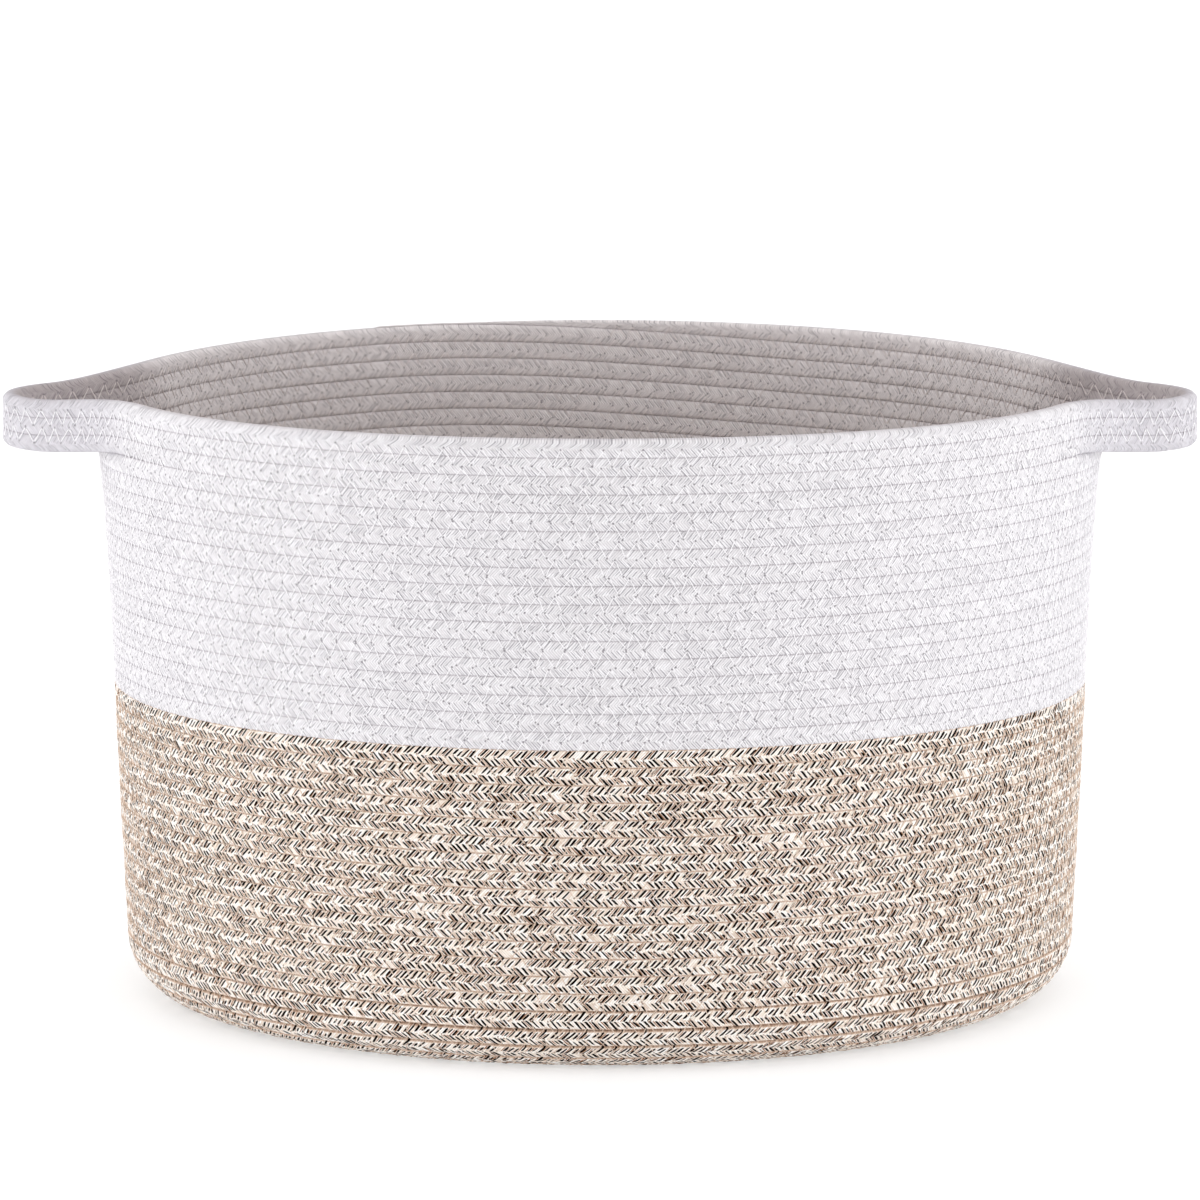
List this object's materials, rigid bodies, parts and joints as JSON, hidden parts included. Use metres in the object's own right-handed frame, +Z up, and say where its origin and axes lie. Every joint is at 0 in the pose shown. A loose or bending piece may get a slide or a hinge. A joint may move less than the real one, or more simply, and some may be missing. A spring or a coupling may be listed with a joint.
{
  "type": "woven laundry basket",
  "caption": "Round coiled-rope storage basket with a mottled lower wall, a white upper wall and two loop handles at the rim.",
  "frame": {"origin": "middle of the underside, on the surface that the basket stands on", "axes": "+X from the left handle to the right handle, +Y to the back, +Z up"},
  "size_m": [0.669, 0.5598, 0.344],
  "materials": {
    "white_rope": "braided cotton, matte",
    "mottled_rope": "braided cotton of cream, tan and brown yarns, matte",
    "rope_core": "loose filler yarn, matte",
    "white_thread": "spun sewing thread",
    "mottled_thread": "spun sewing thread"
  },
  "bodies": {
    "basket": {"base_start": "mottled_rope", "base_coil": "mottled_rope", "base_corner": "mottled_rope", "lower_wall": "mottled_rope", "upper_wall": "white_rope", "rim_front": "white_rope", "rim_back": "white_rope", "base_core": "rope_core", "corner_core": "rope_core", "lower_wall_core": "rope_core", "upper_wall_core": "rope_core", "rim_front_core": "rope_core", "rim_back_core": "rope_core", "base_thread": "mottled_thread", "corner_thread": "mottled_thread", "lower_wall_thread": "mottled_thread", "upper_wall_thread": "white_thread", "rim_front_thread": "white_thread", "rim_back_thread": "white_thread"},
    "left_handle": {"left_handle_top_rope": "white_rope", "left_handle_middle_rope": "white_rope", "left_handle_bottom_rope": "white_rope", "left_handle_core": "rope_core", "left_handle_thread": "white_thread"},
    "right_handle": {"right_handle_top_rope": "white_rope", "right_handle_middle_rope": "white_rope", "right_handle_bottom_rope": "white_rope", "right_handle_core": "rope_core", "right_handle_thread": "white_thread"}
  },
  "joints": [
    {"name": "left_handle_bend", "type": "hinge", "parent": "basket", "child": "left_handle", "pos_m": [-0.27, 0, 0.32918], "axis": [0, 1, 0], "range_deg": [-12, 45], "stiffness_Nm_per_rad": 0.5},
    {"name": "right_handle_bend", "type": "hinge", "parent": "basket", "child": "right_handle", "pos_m": [0.27, 0, 0.32918], "axis": [0, -1, 0], "range_deg": [-12, 45], "stiffness_Nm_per_rad": 0.5}
  ]
}
